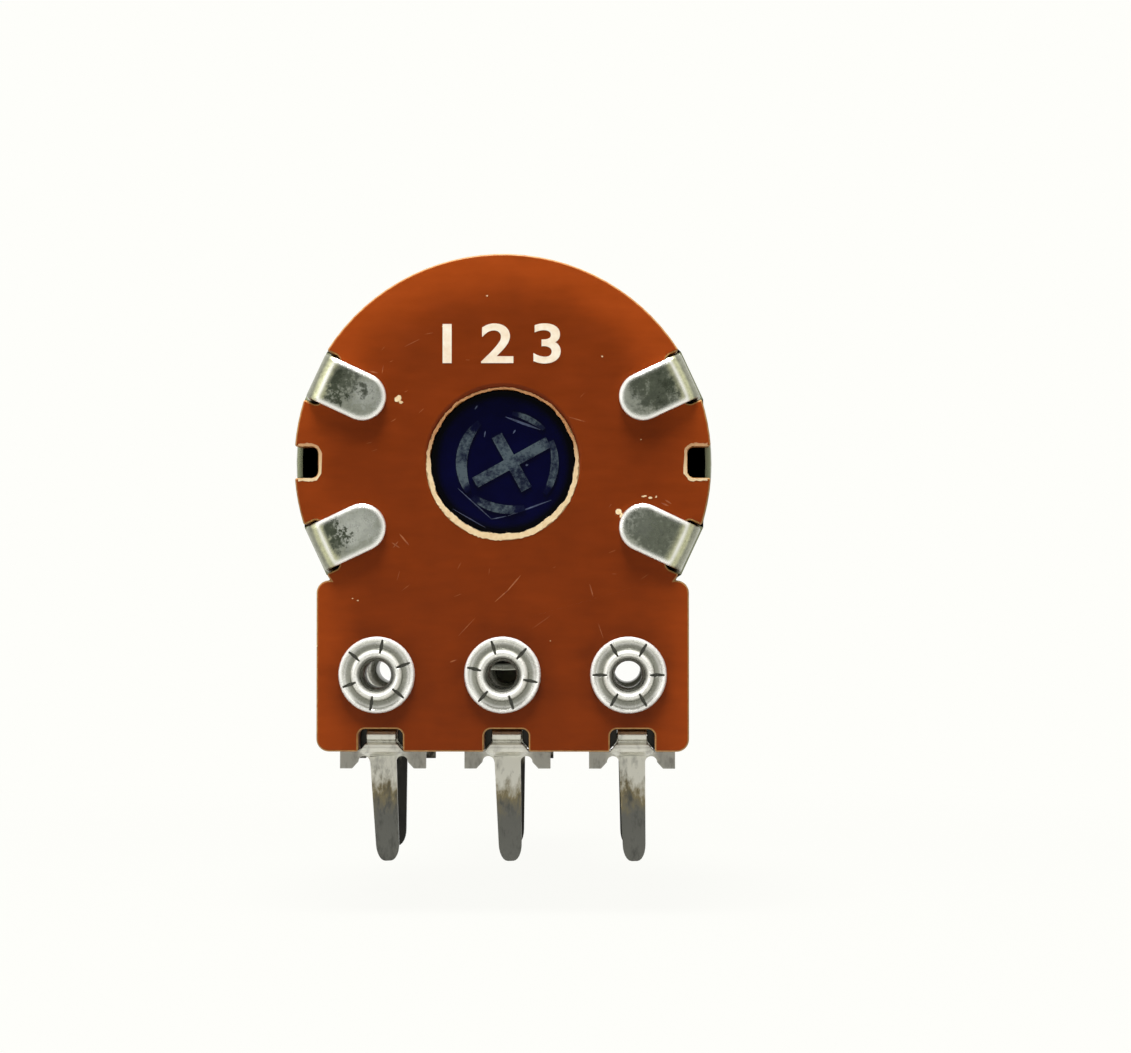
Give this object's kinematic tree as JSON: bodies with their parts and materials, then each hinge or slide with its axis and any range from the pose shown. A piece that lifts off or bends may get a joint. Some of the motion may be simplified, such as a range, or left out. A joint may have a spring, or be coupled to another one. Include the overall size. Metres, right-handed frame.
{
  "type": "dual rotary potentiometer",
  "caption": "Rotary potentiometer with ganged round sections on one splined split shaft, threaded bush, folded tabs and straight solder pins.",
  "frame": {"origin": "on the shaft's axis, in the cover's front face that meets the panel", "axes": "+Y along the shaft, out of the panel side; -Z towards the tips of the pins; +X to the right as seen from the rear"},
  "size_m": [0.0166, 0.0284, 0.0243],
  "materials": {
    "phenolic_board": "punched phenolic paper board",
    "plated_steel": "drawn steel with zinc plating",
    "tinned_terminal": "stamped strip, tin plated and tarnished",
    "tinned_eyelet": "hollow rivet, tin plated",
    "moulded_rotor": "moulded near-black plastic with a blue cast",
    "carbon_ink": "printed resistance film",
    "silver_ink": "printed silver film",
    "spring_bronze": "spring sheet",
    "turned_aluminium": "turned and knurled",
    "zinc_alloy": "die-cast zinc alloy, turned, nickel coloured",
    "spring_steel": "hardened spring steel"
  },
  "bodies": {
    "housing": {"bush": "zinc_alloy", "front_cover": "plated_steel", "front_wafer": "phenolic_board", "front_track": "carbon_ink", "front_collector": "silver_ink", "front_terminal_left": "tinned_terminal", "front_terminal_centre": "tinned_terminal", "front_terminal_right": "tinned_terminal", "front_eyelets": "tinned_eyelet", "rear_can": "plated_steel", "rear_wafer": "phenolic_board", "rear_track": "carbon_ink", "rear_collector": "silver_ink", "rear_terminal_left": "tinned_terminal", "rear_terminal_centre": "tinned_terminal", "rear_terminal_right": "tinned_terminal", "rear_eyelets": "tinned_eyelet"},
    "rotor": {"shaft": "turned_aluminium", "retaining_clip": "spring_steel", "front_rotor": "moulded_rotor", "front_wiper": "spring_bronze", "rear_rotor": "moulded_rotor", "rear_wiper": "spring_bronze"}
  },
  "joints": [
    {"name": "shaft_turn", "type": "hinge", "parent": "housing", "child": "rotor", "pos_m": [0, 0, 0], "axis": [0, 1, 0], "range_deg": [-150, 150]}
  ]
}
